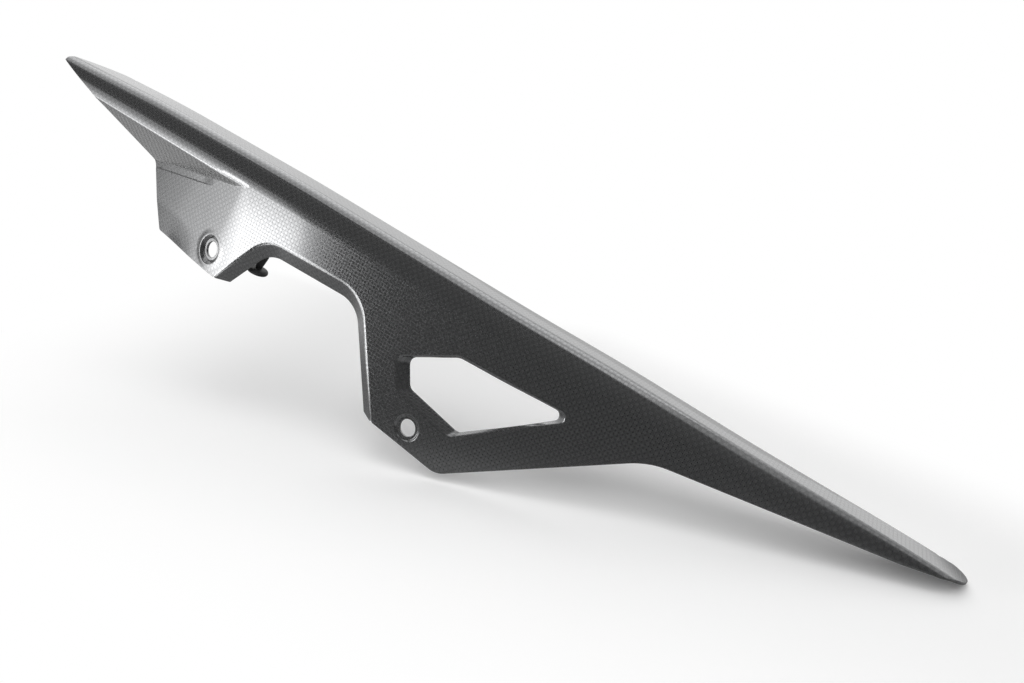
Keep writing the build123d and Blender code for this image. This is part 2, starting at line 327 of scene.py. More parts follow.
def place(x, target, axis, low, high):
    """The s at which the section at x reaches a depth (axis 0) or a height (axis 1), by halving."""
    low, high = low + 0 * x, high + 0 * x
    for _ in range(HALVINGS):
        middle = (low + high) / 2
        short = section(x, middle)[axis] < target
        low, high = np.where(short, middle, low), np.where(short, high, middle)
    return (low + high) / 2


def rounded_path(corners, radii, counts=None, closed=False):
    """Points along a path of straight runs with a circular arc at each corner, and the number of
    points on each run and arc, at least 2 and 6. Given the counts of another such path, it has as
    many on each."""
    corners = np.asarray(corners, float)
    total = len(corners)
    inner = range(total) if closed else range(1, total - 1)
    pieces, previous = [], None if closed else corners[0]
    for index, radius in zip(inner, radii):
        corner, before, after = corners[index], corners[index - 1], corners[(index + 1) % total]
        away, onward = unit(before - corner), unit(after - corner)
        half = math.acos(np.clip(away @ onward, -1, 1)) / 2
        reach = radius / math.tan(half)
        centre = corner + unit(away + onward) * radius / math.sin(half)
        start, end = corner + away * reach, corner + onward * reach
        first = math.atan2(*(start - centre)[::-1])
        turn = (math.atan2(*(end - centre)[::-1]) - first + math.pi) % (2 * math.pi) - math.pi
        pieces.append((previous, start))
        pieces.append((centre, radius, first, turn))
        previous = end
    if closed:
        pieces[0] = (previous, pieces[0][1])
    else:
        pieces.append((previous, corners[-1]))
    lengths = [np.linalg.norm(p[1] - p[0]) if len(p) == 2 else p[1] * abs(p[3]) for p in pieces]
    if counts is None:
        least = [2 if len(p) == 2 else 6 for p in pieces]
        counts = [max(few, round(length / EDGE_STEP)) for few, length in zip(least, lengths)]
    points = []
    for piece, count in zip(pieces, counts):
        t = (np.arange(count) / count)[:, None]
        if len(piece) == 2:
            points.append(piece[0] + (piece[1] - piece[0]) * t)
        else:
            centre, radius, first, turn = piece
            points.append(centre + radius * np.hstack([np.cos(first + turn * t), np.sin(first + turn * t)]))
    if not closed:
        points.append(corners[-1:])
    return np.vstack(points), counts


def moved_corners(corners, shifts, closed=True):
    """Corners of an outline once each side has moved to the right of its direction by its shift."""
    corners = np.asarray(corners, float)
    ends = np.roll(corners, -1, 0) if closed else corners[1:]
    starts = corners if closed else corners[:-1]
    along = unit(ends - starts)
    right = np.stack([along[:, 1], -along[:, 0]], -1)
    offsets = (starts * right).sum(-1) + np.asarray(shifts, float)
    count = len(starts)
    pairs = [(i - 1, i) for i in range(count)] if closed else [(i, i + 1) for i in range(count - 1)]
    return np.array([np.linalg.solve(right[[i, j]], offsets[[i, j]]) for i, j in pairs])


def mitred(loop, insets):
    """A closed loop moved to the left of its direction: each point goes where the two edges that meet
    in it, each moved by its own inset, cross. Also gives the outward directions at the points."""
    edge = unit(np.roll(loop, -1, 0) - loop)
    right = np.stack([edge[:, 1], -edge[:, 0]], -1)
    before, after = np.roll(right, 1, 0), right
    outward = unit(before + after)
    cosine = np.clip((outward * after).sum(-1), 0.5, 1)
    inset = (np.roll(insets, 1) + insets) / 2
    return loop - outward * (inset / cosine)[:, None], outward


def inside(points, loops, block=4000):
    """Which points lie inside an odd number of the loops, by counting the edges each ray crosses. A
    block of points is worked out at a time."""
    found = np.zeros(len(points), bool)
    for loop in loops:
        ends = np.roll(loop, -1, 0)
        for start in range(0, len(points), block):
            x, y = points[start:start + block, :1], points[start:start + block, 1:]
            spans = (loop[:, 1] > y) != (ends[:, 1] > y)
            rise = np.where(ends[:, 1] == loop[:, 1], 1, ends[:, 1] - loop[:, 1])
            slope = (ends[:, 0] - loop[:, 0]) / rise
            crossed = spans & (x < loop[:, 0] + (y - loop[:, 1]) * slope)
            found[start:start + block] ^= crossed.sum(1) % 2 == 1
    return found


def clear_of(points, others, distance, block=2000):
    """Which points keep that distance from all the others, worked out a block at a time."""
    kept = np.ones(len(points), bool)
    for start in range(0, len(points), block):
        gap = points[start:start + block, None] - others[None]
        kept[start:start + block] = (gap ** 2).sum(-1).min(1) > distance ** 2
    return kept


def circle(centre, radius, squeeze=1.0):
    """A clockwise circle on the skin, narrowed along x on the turned tab."""
    angle = -np.arange(HOLE_POINTS) * 2 * math.pi / HOLE_POINTS
    return np.stack([centre[0] + squeeze * radius * np.cos(angle), centre[1] + radius * np.sin(angle)], -1)


def arc_through(start, middle, end, count):
    """Points on the circle through three points, anticlockwise from the first to the last. Its centre
    is where two of their perpendicular bisectors cross."""
    a, b, c = np.array([start, middle, end], float)
    centre = np.linalg.solve(2 * np.array([b - a, c - a]), [b @ b - a @ a, c @ c - a @ a])
    first, last = (math.atan2(*(point - centre)[::-1]) for point in (a, c))
    angle = first + (last - first) % (2 * math.pi) * np.linspace(0, 1, count)
    return centre + math.dist(a, centre) * np.stack([np.cos(angle), np.sin(angle)], -1)


class Surface:
    """Points, normals, pattern coordinates and faces of one mesh, gathered part by part."""

    def __init__(self):
        self.points, self.normals, self.places, self.faces, self.count = [], [], [], [], 0

    def add(self, points, normals, places):
        """Adds points and returns their indices."""
        points = points.reshape(-1, 3)
        self.points.append(points)
        self.normals.append(normals.reshape(-1, 3))
        self.places.append(places.reshape(-1, 2))
        self.count += len(points)
        return np.arange(self.count - len(points), self.count)

    def ribbon(self, rows, closed):
        """Adds quads between neighbouring rows of indices."""
        if closed:
            rows = np.vstack([rows, rows[:1]])
        a, b = rows[:-1], rows[1:]
        quads = np.stack([a[:, :-1], a[:, 1:], b[:, 1:], b[:, :-1]], -1).reshape(-1, 4)
        self.faces += quads.tolist()

    def carry(self, outer, inner, profile, closed):
        """Joins outer points to inner ones by the profile's points between, and caps open ends."""
        strip, places = profile
        between = self.add(strip[:, 1:-1], grid_normals(strip, closed)[:, 1:-1], places[:, 1:-1])
        self.ribbon(np.hstack([outer[:, None], between.reshape(len(strip), -1), inner[:, None]]), closed)
        if not closed:
            self.cap(strip[0], places[0])
            self.cap(strip[-1][::-1], places[-1][::-1])

    def cap(self, row, places):
        """Closes the end of a profile with one face."""
        normal = unit(np.cross(row, np.roll(row, -1, 0)).sum(0))
        index = self.add(row, np.tile(normal, (len(row), 1)), places)
        self.faces.append(index.tolist())

    def mesh(self, name):
        """The mesh in metres, with its normals, its pattern coordinates as a UV map, and as attributes the
        mask of the painted shade along the roof's back edge and the mask of the facet."""
        points = np.vstack(self.points) + (0, FACE_Y, 0)
        mesh = bpy.data.meshes.new(name)
        mesh.from_pydata((points * MM).tolist(), [], self.faces)
        corners = np.zeros(len(mesh.loops), np.int32)
        mesh.loops.foreach_get("vertex_index", corners)
        layer = mesh.uv_layers.new(name="Cloth")
        places = np.vstack(self.places)
        layer.uv.foreach_set("vector", (places[corners] * CLOTH_PER_MM).astype(np.float32).ravel())
        # The first attribute masks the painted shade along the roof's back edge
        for key, values in (("Band", painted_shade_band(*places.T)), ("Facet", facet_share(*places.T))):
            attribute = mesh.attributes.new(key, "FLOAT", "POINT")
            attribute.data.foreach_set("value", values.astype(np.float32))
        mesh.polygons.foreach_set("use_smooth", np.ones(len(mesh.polygons), bool))
        mesh.validate()
        mesh.normals_split_custom_set_from_vertices(unit(np.vstack(self.normals)).tolist())
        return mesh


def grid_normals(points, closed):
    """Normals of a grid of points, rows along the path and columns along the profile, from the cross
    product of the differences between neighbours."""
    if closed:
        ring = np.concatenate([points[-1:], points, points[:1]])
        along = (ring[2:] - ring[:-2]) / 2
    else:
        along = np.gradient(points, axis=0)
    return unit(np.cross(np.gradient(points, axis=1), along))


# Lips and cut edges: the rounding of a lip's end, the points on its fold and along it, and how far
# the points of a profile stand from its start along the cloth
LIP_ROUND = 0.35
FOLD_POINTS = 7
LIP_SHARES = (0.35, 0.7)
ROUND_REACH = 0.5
RIM_ANGLES = np.radians([30, 60, 90])
RIM_REACH = (0.2, 0.35, 0.5)
INNER_REACH = (0.2, 0.35)


def lip_profile(edge, end, start, normals, starts, outward, wall):
    """A return lip as a profile carried along its edge: a parabola folds the wall over the edge, a
    straight run goes to the lip's rounded end, and the same comes back one wall further in.
    Gives the points and how far each stands from the fold along the cloth."""
    fold = np.linalg.norm(start - edge, axis=-1, keepdims=True)
    lip = unit(end - edge)
    along = unit(np.gradient(edge, axis=0))
    face = unit(np.cross(lip, along))
    over = edge + lip * fold
    inner_edge = edge - wall * (normals + face) / (1 + (normals * face).sum(-1, keepdims=True))
    inner_end = end - face * wall
    inner_start = start - normals * wall
    columns, reach = [], []
    for t in np.linspace(0, 1, FOLD_POINTS)[1:]:
        columns.append((1 - t) ** 2 * start + 2 * t * (1 - t) * edge + t * t * over)
        reach.append(2 * t * fold[:, 0])
    length = np.linalg.norm(end - edge, axis=-1)
    for t in LIP_SHARES:
        columns.append(over + (end - lip * LIP_ROUND - over) * t)
        reach.append(2 * fold[:, 0] + (length - fold[:, 0]) * t)
    corner = (1 - math.sqrt(0.5)) * LIP_ROUND
    side = (end - lip * LIP_ROUND, end - (lip + face) * corner, end - face * LIP_ROUND)
    back = (inner_end + face * LIP_ROUND, inner_end + (face - lip) * corner, inner_end - lip * LIP_ROUND)
    for k, column in enumerate(side + back):
        columns.append(column)
        reach.append(length + fold[:, 0] + k * ROUND_REACH)
    for column, extra in ((inner_edge + lip * fold, 2), (inner_edge, 1)):
        columns.append(column)
        reach.append(2 * fold[:, 0] + extra * ROUND_REACH)
    points = np.stack([start, *columns, inner_start], 1)
    places = starts[:, None] + outward[:, None] * np.stack([0 * length, *reach, 0 * length], 1)[..., None]
    return points, places


def rim_profile(start, normals, sideways, starts, outward, wall, radius):
    """The cut edge of the laminate: a quarter round, the edge and another quarter round."""
    columns = [start + sideways * radius * math.sin(a) - normals * radius * (1 - math.cos(a))
               for a in RIM_ANGLES]
    columns += [start + sideways * radius * math.cos(a - math.pi / 6)
                - normals * (wall - radius + radius * math.sin(a - math.pi / 6)) for a in RIM_ANGLES]
    points = np.stack([start, *columns, start - normals * wall], 1)
    reach = np.array([0, *RIM_REACH, wall, wall + INNER_REACH[0], wall + INNER_REACH[1], 0])
    return points, starts[:, None] + outward[:, None] * reach[None, :, None]


def outer_boundary():
    """The trimmed edge of the skin as places (x, s), anticlockwise from the arch's back foot: under
    the tail, round the tongue, along the rolled edge, round the nose, down the tab and over the arch.
    Also gives how many points come before the arch, the arch's own path and its points per run and
    arc."""
    tail, _ = rounded_path(TAIL_EDGE, TAIL_RADII)
    angle = np.radians(np.linspace(-90, 90, TONGUE_POINTS))[1:]
    tongue = np.stack([TONGUE_X + TONGUE_RADIUS * np.cos(angle),
                       TONGUE_RADIUS + TONGUE_RADIUS * np.sin(angle)], -1)
    top = runs(np.array([TONGUE_X, NOSE_END_X]))
    down = np.linspace(0, 1, LIP_POINTS)
    tail_lip = np.stack([0 * down + TONGUE_X, top["back"][0] + down * (top["end"][0] - top["back"][0])], -1)
    x = np.arange(TONGUE_X - EDGE_STEP, NOSE_END_X + 1, -EDGE_STEP)
    rolled = np.stack([x, runs(x)["end"]], -1)
    nose_lip = np.stack([0 * down + NOSE_END_X, top["end"][1] + down * (top["back"][1] - top["end"][1])], -1)
    nose = arc_through((NOSE_END_X, ROOF_WIDTH), NOSE_MIDDLE, NOSE_TIP, NOSE_POINTS)
    tab, _ = rounded_path(TAB_EDGE, TAB_RADII)
    tab = tab[tab[:, 0] > NOSE_TIP[0]]
    arch, counts = rounded_path(ARCH, ARCH_RADII)

    def on_wall(path):
        x, z = path.T
        return np.stack([x, place(x, z, 1, LOWEST_S, runs(x)["roof"])], -1)

    def on_roof(path):
        x, y = path.T
        r = runs(x)
        return np.stack([x, place(x, y, 0, r["start"] - CROWN_MARGIN, r["back"] + ROLL_REACH)], -1)

    parts = [on_wall(tail), on_roof(tongue)[:-1], tail_lip, rolled, nose_lip, on_roof(nose)[1:], on_wall(tab)]
    rim = np.vstack(parts)
    rim = rim[np.r_[True, np.linalg.norm(np.diff(rim, axis=0), axis=1) > SAME_POINT]]
    return np.vstack([rim[:-1], arch[:-1]]), len(rim) - 1, arch, counts


def arch_lip_end(counts):
    """The outline on which the arch's lip ends: each side moved in by its lip. It starts on a line
    that rises by ARCH_FOOT_RISE from the front foot, and ends on the line of the tail's edge."""
    corners = np.array(ARCH, float)
    feet = ((corners[0], corners[1] - corners[0], ARCH_LIPS[0], np.array([1, ARCH_FOOT_RISE])),
            (corners[3], corners[3] - corners[2], ARCH_LIPS[2], TAIL_EDGE[1] - corners[3]))
    ends = []
    for foot, side, lip, way in feet:
        side, way = unit(side), unit(way)
        right = np.array([side[1], -side[0]])
        ends.append(foot + way * np.linalg.solve(np.stack([way, -side], -1), right * lip)[0])
    moved = moved_corners(ARCH, ARCH_LIPS, closed=False)
    radii = (ARCH_RADII[0] - ARCH_LIPS[0], ARCH_RADII[1] - ARCH_LIPS[2])
    return rounded_path([ends[0], *moved, ends[1]], radii, counts)[0]


def grid_places():
    """Places of a grid: columns along the skin, and rows up the wall and round the crown and the
    rolled edge, with more of them where the skin folds."""
    x = np.arange(*GRID_X, GRID_STEP)
    r = runs(x)
    rows = [0 * x + z for z in (*np.arange(*GRID_Z, GRID_STEP), *CREASE_ROWS)]
    for low, high, steps in RUN_STEPS:
        rows += [r[low] + (r[high] - r[low]) * k / steps for k in range(steps)]
    return np.stack([np.tile(x, len(rows)), np.concatenate(rows)], -1)


def fold_places():
    """Places on lines along the facet's foot and its ledge, and on rings round the two recesses."""
    x = np.arange(*FOLD_X, FOLD_STEP)
    foot = CREASE_Z - tab_depth(x, FOLD_Z + 0 * x)
    lines = [np.stack([x, foot + shift], -1) for shift in FOLD_LINES]
    rings = [circle((0, 0), radius) for radius in REAR_RINGS]
    rings += [circle(FRONT_HOLE, radius, SQUEEZE) for radius in FRONT_RINGS]
    return np.vstack(lines + rings)


def inner_places(loops):
    """The folds' and the grid's places that lie on the skin and keep clear of its edges."""
    edges = np.vstack(loops)
    folds = fold_places()
    folds = folds[clear_of(folds, edges, EDGE_GAP)]
    grid = grid_places()
    grid = grid[clear_of(grid, np.vstack([edges, folds]), GRID_GAP)]
    loose = np.vstack([folds, grid])
    return loose[inside(loose, loops)]


def triangles(places, loops, points, normals):
    """Delaunay triangles of the places between the loops, each turned to face outwards."""
    fences, first = [], 0
    for loop in loops:
        index = first + np.arange(len(loop))
        fences += np.stack([index, np.roll(index, -1)], -1).tolist()
        first += len(loop)
    made = delaunay_2d_cdt([Vector(p) for p in places.tolist()], fences, [], 0, MERGE_GAP)
    cells = np.array([face for face in made[2] if len(face) == 3])
    source = np.array([group[0] if group else -1 for group in made[3]])
    if (source < 0).any():
        raise RuntimeError("two outlines of the skin cross")
    cells = source[cells]
    cells = cells[inside(places[cells].mean(1), loops)]
    a, b, c = points[cells].transpose(1, 0, 2)
    turned = (np.cross(b - a, c - a) * normals[cells].sum(1)).sum(-1) < 0
    cells[turned] = cells[turned][:, ::-1]
    return cells


def at_depth(outline, depth):
    """Points of an outline of places on the wall, at a depth behind its face."""
    return np.stack([outline[:, 0], 0 * outline[:, 0] + depth, outline[:, 1]], -1)


def guard_skin(shape):
    """The whole moulded skin: one trimmed outer surface, its copy one wall further in, and the
    profiles along the cut edges, the arch's lip, the window's bevel and the two holes."""
    wall, rim_radius, fold = shape.wall_mm, shape.edge_mm, shape.fold_mm
    boundary, rim_count, arch, arch_counts = outer_boundary()
    insets = np.full(len(boundary), rim_radius)
    insets[rim_count:] = fold
    outer, outer_way = mitred(boundary, insets)
    bevelled = moved_corners(WINDOW, -np.array(WINDOW_BEVELS))
    window, window_counts = rounded_path(bevelled, WINDOW_RADII, closed=True)
    opening, _ = rounded_path(WINDOW, WINDOW_RADII, window_counts, closed=True)
    window_start, window_way = mitred(window, np.full(len(window), fold * WINDOW_FOLD))
    hole_insets = np.full(HOLE_POINTS, rim_radius)
    rear, rear_way = mitred(circle((0, 0), HOLE_RADIUS), hole_insets)
    front, front_way = mitred(circle(FRONT_HOLE, HOLE_RADIUS, SQUEEZE), hole_insets)

    loops = [outer, window_start, rear, front]
    places = np.vstack([*loops, inner_places(loops)])
    points, normals = skin(*places.T), skin_normals(*places.T)
    cells = triangles(places, loops, points, normals)
    count = len(points)
    surface = Surface()
    surface.add(points, normals, places)
    surface.add(points - normals * wall, -normals, places)
    surface.faces += cells.tolist() + (cells[:, ::-1] + count).tolist()

    def rim(index, outward, closed):
        ahead, behind = (skin(*(places[index] + outward * step).T) for step in (SLOPE_STEP, -SLOPE_STEP))
        profile = rim_profile(points[index], normals[index], unit(ahead - behind), places[index],
                              outward, wall, rim_radius)
        surface.carry(index, index + count, profile, closed)

    def lip(index, edge, end, outward, closed):
        profile = lip_profile(edge, end, points[index], normals[index], places[index], outward, wall)
        surface.carry(index, index + count, profile, closed)

    cut = np.arange(rim_count + 1)
    rim(cut, outer_way[cut], False)
    over = np.r_[rim_count:len(outer), 0]
    lip(over, skin(*arch.T), at_depth(arch_lip_end(arch_counts), ARCH_DEPTH), outer_way[over], False)
    width = np.linalg.norm(window - opening, axis=1)
    depth = WINDOW_DEPTH * (NARROW_DEPTH + (1 - NARROW_DEPTH) * ramp(width, *NARROW_RAMP))
    index = len(outer) + np.arange(len(window))
    lip(index, skin(*window.T), at_depth(opening, depth), window_way, True)
    index = len(outer) + len(window) + np.arange(HOLE_POINTS)
    rim(index, rear_way, True)
    rim(index + HOLE_POINTS, front_way, True)
    return surface.mesh("carbon_skin")


class Signal:
    """A node socket that takes part in arithmetic: each operator adds a Math node."""

    def __init__(self, graph, socket):
        self.graph, self.socket = graph, socket

    def math(self, operation, *others):
        values = dict(enumerate((self, *others)))
        return self.graph.node("ShaderNodeMath", {"operation": operation}, values)

    def __add__(self, other):
        return self.math("ADD", other)

    def __radd__(self, other):
        return self.math("ADD", other)

    def __sub__(self, other):
        return self.math("SUBTRACT", other)

    def __rsub__(self, other):
        return self.graph.node("ShaderNodeMath", {"operation": "SUBTRACT"}, {0: other, 1: self})

    def __mul__(self, other):
        return self.math("MULTIPLY", other)

    def __rmul__(self, other):
        return self.math("MULTIPLY", other)

    def __truediv__(self, other):
        return self.math("DIVIDE", other)

    def __pow__(self, other):
        return self.math("POWER", other)


class Graph:
    """The node tree of a material or a world."""

    def __init__(self, tree):
        self.tree = tree
        tree.nodes.clear()

    def node(self, kind, settings=None, values=None, output=0):
        """Adds a node, makes its settings, and then sets or links its inputs by name or number."""
        node = self.tree.nodes.new(kind)
        for name, setting in (settings or {}).items():
            setattr(node, name, setting)
        for name, value in (values or {}).items():
            if isinstance(value, Signal):
                self.tree.links.new(value.socket, node.inputs[name])
            else:
                node.inputs[name].default_value = value
        return Signal(self, node.outputs[output]) if node.outputs else node

    def fade(self, value, low, high):
        """0 below the low value, 1 above the high one and a smooth step between."""
        values = {"Value": value, "From Min": low, "From Max": high}
        return self.node("ShaderNodeMapRange", {"interpolation_type": "SMOOTHSTEP"}, values)

    def dot(self, vector, way):
        """How far a vector reaches along a direction."""
        values = {0: vector, 1: way}
        return self.node("ShaderNodeVectorMath", {"operation": "DOT_PRODUCT"}, values, output="Value")

    def mix(self, factor, first, second):
        """A blend of two colours."""
        values = {0: factor, 6: first, 7: second}
        return self.node("ShaderNodeMix", {"data_type": "RGBA"}, values, output=2)


def grey(value):
    return (value, value, value, 1)


# Darkenings of the cloth: how far each darkens the yarns, and to what grey. The gaps between the yarns are
# dark joints; the ribs on the facet and the strip along the roof's back edge are painted shade
GAP_SHADE, GAP_GREY = 0.25, 0.04
RIB_PAINTED_SHADE, RIB_SHADE_GREY = 0.8, 0.05
BAND_PAINTED_SHADE, BAND_SHADE_GREY = 0.72, 0.02
GAP_LEVEL, GAP_BLUR = 0.35, 0.1
GAP_ROUGH, CROWN_ROUGH = 0.15, 0.04
WANDER_SCALE, WANDER_SHARE = 9.0, 0.25
WEAVE_STRENGTH, WEAVE_HEIGHT = 0.15, 0.000014


def carbon_material(finish):
    """Woven carbon under a satin clear coat. One set of yarns runs along the ridge, one across. In each
    square of the cloth one set lies on top: its height arches along the yarn and falls at its sides, and the
    two sets differ in tone. The facet has ribs of painted shade across the ridge, two yarns apart, which
    stand in for the stripes of sheen that the weave shows at a slant and for the shade of the down-facing
    facet, and the strip along the roof's back edge has painted shade for its darker reflection."""
    material = bpy.data.materials.new("woven_carbon")
    material.use_nodes = True
    graph = Graph(material.node_tree)
    uv = graph.node("ShaderNodeUVMap", {"uv_map": "Cloth"})
    u, v = (graph.node("ShaderNodeSeparateXYZ", None, {0: uv}, output=axis) for axis in ("X", "Y"))
    yarns = 1 / (CLOTH_PER_MM * finish.yarn_mm)
    a, b = u * yarns, v * yarns
    along_a, along_b = a.math("FRACT"), b.math("FRACT")
    over = (a.math("FLOOR") + b.math("FLOOR")).math("PINGPONG", 1)
    along = along_a + over * (along_b - along_a)
    across = along_b + over * (along_a - along_b)
    arch = (along * math.pi).math("SINE")
    side = 1 - (across * 2 - 1) ** 4
    crown = arch * side
    gap = 1 - crown.math("SMOOTH_MIN", GAP_LEVEL, GAP_BLUR) / GAP_LEVEL
    wander = graph.node("ShaderNodeTexNoise", {"noise_dimensions": "2D"},
                        {"Vector": uv, "Scale": WANDER_SCALE, "Detail": 2.0})
    tone = over * finish.contrast + wander * WANDER_SHARE
    colour = graph.mix(tone, (*finish.dark, 1), (*finish.light, 1))
    colour = graph.mix(gap * GAP_SHADE, colour, grey(GAP_GREY))
    facet = graph.node("ShaderNodeAttribute", {"attribute_name": "Facet"}, output="Fac")
    # Painted shade: ribs two yarns apart darken the facet, standing in for the weave's stripes of sheen at a
    # slant and the facet's shade
    painted_ribs = (a * 0.5).math("FRACT").math("PINGPONG", 0.5) * 2
    colour = graph.mix(facet * painted_ribs * RIB_PAINTED_SHADE, colour, grey(RIB_SHADE_GREY))
    # Painted shade: the strip along the roof's back edge is darkened, standing in for its darker reflection
    painted_shade = graph.node("ShaderNodeAttribute", {"attribute_name": "Band"}, output="Fac")
    colour = graph.mix(painted_shade * BAND_PAINTED_SHADE, colour, grey(BAND_SHADE_GREY))
    bump = graph.node("ShaderNodeBump", None,
                      {"Strength": WEAVE_STRENGTH, "Distance": WEAVE_HEIGHT, "Height": crown})
    rough = finish.roughness + gap * GAP_ROUGH - arch * CROWN_ROUGH
    shader = graph.node("ShaderNodeBsdfPrincipled", None, {
        "Base Color": colour, "Metallic": finish.metal, "Roughness": rough, "Normal": bump,
        "Coat Weight": finish.coat, "Coat Roughness": finish.coat_roughness, "IOR": 1.5})
    graph.node("ShaderNodeOutputMaterial", None, {"Surface": shader})
    return material


# The peg's plastic: scales of its grain and clouds, its greys, and its roughness
GRAIN_SCALE, GRAIN_STRENGTH, GRAIN_HEIGHT = 900.0, 0.35, 0.0001
CLOUD_SCALE = 60.0
PEG_DARK, PEG_LIGHT = 0.028, 0.05
PEG_ROUGH, CLOUD_ROUGH = 0.45, 0.2


def peg_material():
    """Matt black moulded plastic with a fine grain, cloudy in tone and in roughness."""
    material = bpy.data.materials.new("matt_plastic")
    material.use_nodes = True
    graph = Graph(material.node_tree)
    spot = graph.node("ShaderNodeTexCoord", output="Object")
    grain = graph.node("ShaderNodeTexNoise", None, {"Vector": spot, "Scale": GRAIN_SCALE, "Detail": 3.0})
    cloud = graph.node("ShaderNodeTexNoise", None, {"Vector": spot, "Scale": CLOUD_SCALE, "Detail": 2.0})
    colour = graph.mix(cloud, grey(PEG_DARK), grey(PEG_LIGHT))
    bump = graph.node("ShaderNodeBump", None,
                      {"Strength": GRAIN_STRENGTH, "Distance": GRAIN_HEIGHT, "Height": grain})
    shader = graph.node("ShaderNodeBsdfPrincipled", None, {
        "Base Color": colour, "Roughness": PEG_ROUGH + cloud * CLOUD_ROUGH, "Normal": bump})
    graph.node("ShaderNodeOutputMaterial", None, {"Surface": shader})
    return material


class GuardShape(bpy.types.PropertyGroup):
    """Sizes of the visible skin."""

    wall_mm: bpy.props.FloatProperty(
        name="Wall", description="Thickness of the laminate in millimetres",
        default=REAR_BORE["dims"]["length_mm"], min=0.5, max=4)
    edge_mm: bpy.props.FloatProperty(
        name="Cut edge", description="Rounding of the cut edges in millimetres",
        default=0.35, min=0.05, max=0.7)
    fold_mm: bpy.props.FloatProperty(
        name="Fold", description="Width of the fold on each side of a lip's edge, in millimetres",
        default=1.7, min=0.2, max=2)


class CarbonFinish(bpy.types.PropertyGroup):
    """The cloth and its clear coat."""

    yarn_mm: bpy.props.FloatProperty(
        name="Yarn", description="Width of one yarn of the plain weave in millimetres",
        default=2.0, min=1, max=4)
    dark: bpy.props.FloatVectorProperty(
        name="Dark yarns", description="Colour of the yarns that run one way",
        subtype="COLOR", size=3, default=(0.19, 0.192, 0.195), min=0, max=1)
    light: bpy.props.FloatVectorProperty(
        name="Light yarns", description="Colour of the yarns that run the other way",
        subtype="COLOR", size=3, default=(0.27, 0.272, 0.276), min=0, max=1)
    contrast: bpy.props.FloatProperty(
        name="Contrast", description="Difference in tone between the yarns",
        default=0.55, min=0, max=1, subtype="FACTOR")
    metal: bpy.props.FloatProperty(
        name="Sheen", description="Share of mirror-like light that the fibres return",
        default=0.8, min=0, max=1, subtype="FACTOR")
    roughness: bpy.props.FloatProperty(
        name="Roughness", description="Roughness of the fibres",
        default=0.19, min=0, max=1, subtype="FACTOR")
    coat: bpy.props.FloatProperty(
        name="Coat", description="Weight of the clear coat",
        default=0.5, min=0, max=1, subtype="FACTOR")
    coat_roughness: bpy.props.FloatProperty(
        name="Coat roughness", description="Roughness of the satin clear coat",
        default=0.06, min=0, max=1, subtype="FACTOR")


class StudioLook(bpy.types.PropertyGroup):
    """The floor and the light."""

    floor: bpy.props.FloatVectorProperty(
        name="Floor", description="Colour of the pale floor",
        subtype="COLOR", size=3, default=(0.88, 0.88, 0.88), min=0, max=1)
    room: bpy.props.FloatProperty(
        name="Room", description="Strength of the dim room in front of the guard",
        default=0.05, min=0, max=2)
    backdrop: bpy.props.FloatProperty(
        name="Backdrop", description="Strength of the backdrop's light",
        default=0.35, min=0, max=2)
    side_watts: bpy.props.FloatProperty(
        name="Side lamps", description="Watts per square metre of the nested lamps at the nose",
        default=2.4, min=0, max=200)
    top_watts: bpy.props.FloatProperty(
        name="Top lamp", description="Power of the soft lamp overhead",
        default=5.6, min=0, max=200, subtype="POWER")
    front_watts: bpy.props.FloatProperty(
        name="Front lamp", description="Power of the lamp that throws the shadow",
        default=9.6, min=0, max=200, subtype="POWER")


class CHAINGUARD_OT_skin(bpy.types.Operator):
    """Builds the moulded carbon skin and hides the plain CAD shell"""

    bl_idname = "chainguard.skin"
    bl_label = "Carbon skin"

    def execute(self, context):
        piece = bpy.data.objects.new("carbon_skin", guard_skin(context.scene.guard_shape))
        context.scene.collection.objects.link(piece)
        piece.data.materials.append(carbon_material(context.scene.carbon_finish))
        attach(piece, "root")
        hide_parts("guard_shell")
        return {"FINISHED"}


class CHAINGUARD_OT_peg(bpy.types.Operator):
    """Gives the locating peg its matt plastic"""

    bl_idname = "chainguard.peg"
    bl_label = "Locating peg"

    def execute(self, context):
        peg = frame["nodes"]["locating_peg"]
        peg.data.materials.clear()
        peg.data.materials.append(peg_material())
        return {"FINISHED"}


# Camera, and the table's directions, from the photograph's perspective
PICTURE_WIDTH = 1024
FOCAL_PIXELS = 900
SENSOR_WIDTH = 36.0
CAMERA_PLACE = Vector((0.178655, -0.424060, 0.196121))
CAMERA_RIGHT = Vector((0.81162, 0.40210, 0.42377))
CAMERA_UP = Vector((-0.49263, 0.08120, 0.86644))
CAMERA_FORWARD = Vector((-0.31399, 0.91198, -0.26400))
TABLE_UP = Vector((-0.356, -0.236, 0.904)).normalized()
TABLE_RIGHT = CAMERA_FORWARD.cross(TABLE_UP).normalized()
TABLE_AHEAD = TABLE_UP.cross(TABLE_RIGHT)
GUARD_ALONG = (Vector((1, 0, 0)) - TABLE_UP * TABLE_UP.x).normalized()
GUARD_ACROSS = TABLE_UP.cross(GUARD_ALONG)


def add_camera(scene):
    """The photograph's point of view."""
    data = bpy.data.cameras.new("camera")
    data.sensor_width, data.lens = SENSOR_WIDTH, SENSOR_WIDTH * FOCAL_PIXELS / PICTURE_WIDTH
    data.clip_start, data.clip_end = 0.01, 50
    camera = bpy.data.objects.new("camera", data)
    turn = Matrix((CAMERA_RIGHT, CAMERA_UP, -CAMERA_FORWARD)).transposed().to_4x4()
    camera.matrix_world = Matrix.Translation(CAMERA_PLACE) @ turn
    scene.collection.objects.link(camera)
    scene.camera = camera


